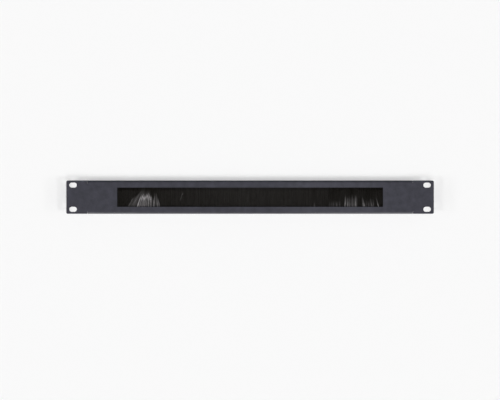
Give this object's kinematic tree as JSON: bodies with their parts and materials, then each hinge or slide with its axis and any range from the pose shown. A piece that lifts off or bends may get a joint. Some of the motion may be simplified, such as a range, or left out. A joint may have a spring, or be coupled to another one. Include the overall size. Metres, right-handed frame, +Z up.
{
  "type": "rack brush strip panel",
  "caption": "Folded sheet-steel rack panel with a long cable slot, closed by a strip brush that hangs in an aluminium holder behind the slot's upper rim.",
  "frame": {"origin": "middle of the four ear holes, on the plane where the ears' rear faces bear on the rack rails", "axes": "+X to the right as seen from the front, +Y into the rack, +Z up"},
  "size_m": [0.4826, 0.016, 0.0436],
  "materials": {
    "powder_coat": "fine-textured dark grey powder coat",
    "mill_aluminium": "extruded, as it leaves the die",
    "galvanised_strip": "rolled zinc-coated strip",
    "drawn_wire": "bright drawn wire",
    "nylon_filament": "black nylon filaments with a slight sheen",
    "zinc_plate": "bright zinc plating"
  },
  "bodies": {
    "root": {"front_panel": "powder_coat", "brush_holder": "mill_aluminium", "brush_channel": "galvanised_strip", "core_wire": "drawn_wire", "bristles": "nylon_filament", "screws": "zinc_plate", "spring_washers": "zinc_plate", "hex_nuts": "zinc_plate"}
  },
  "joints": []
}
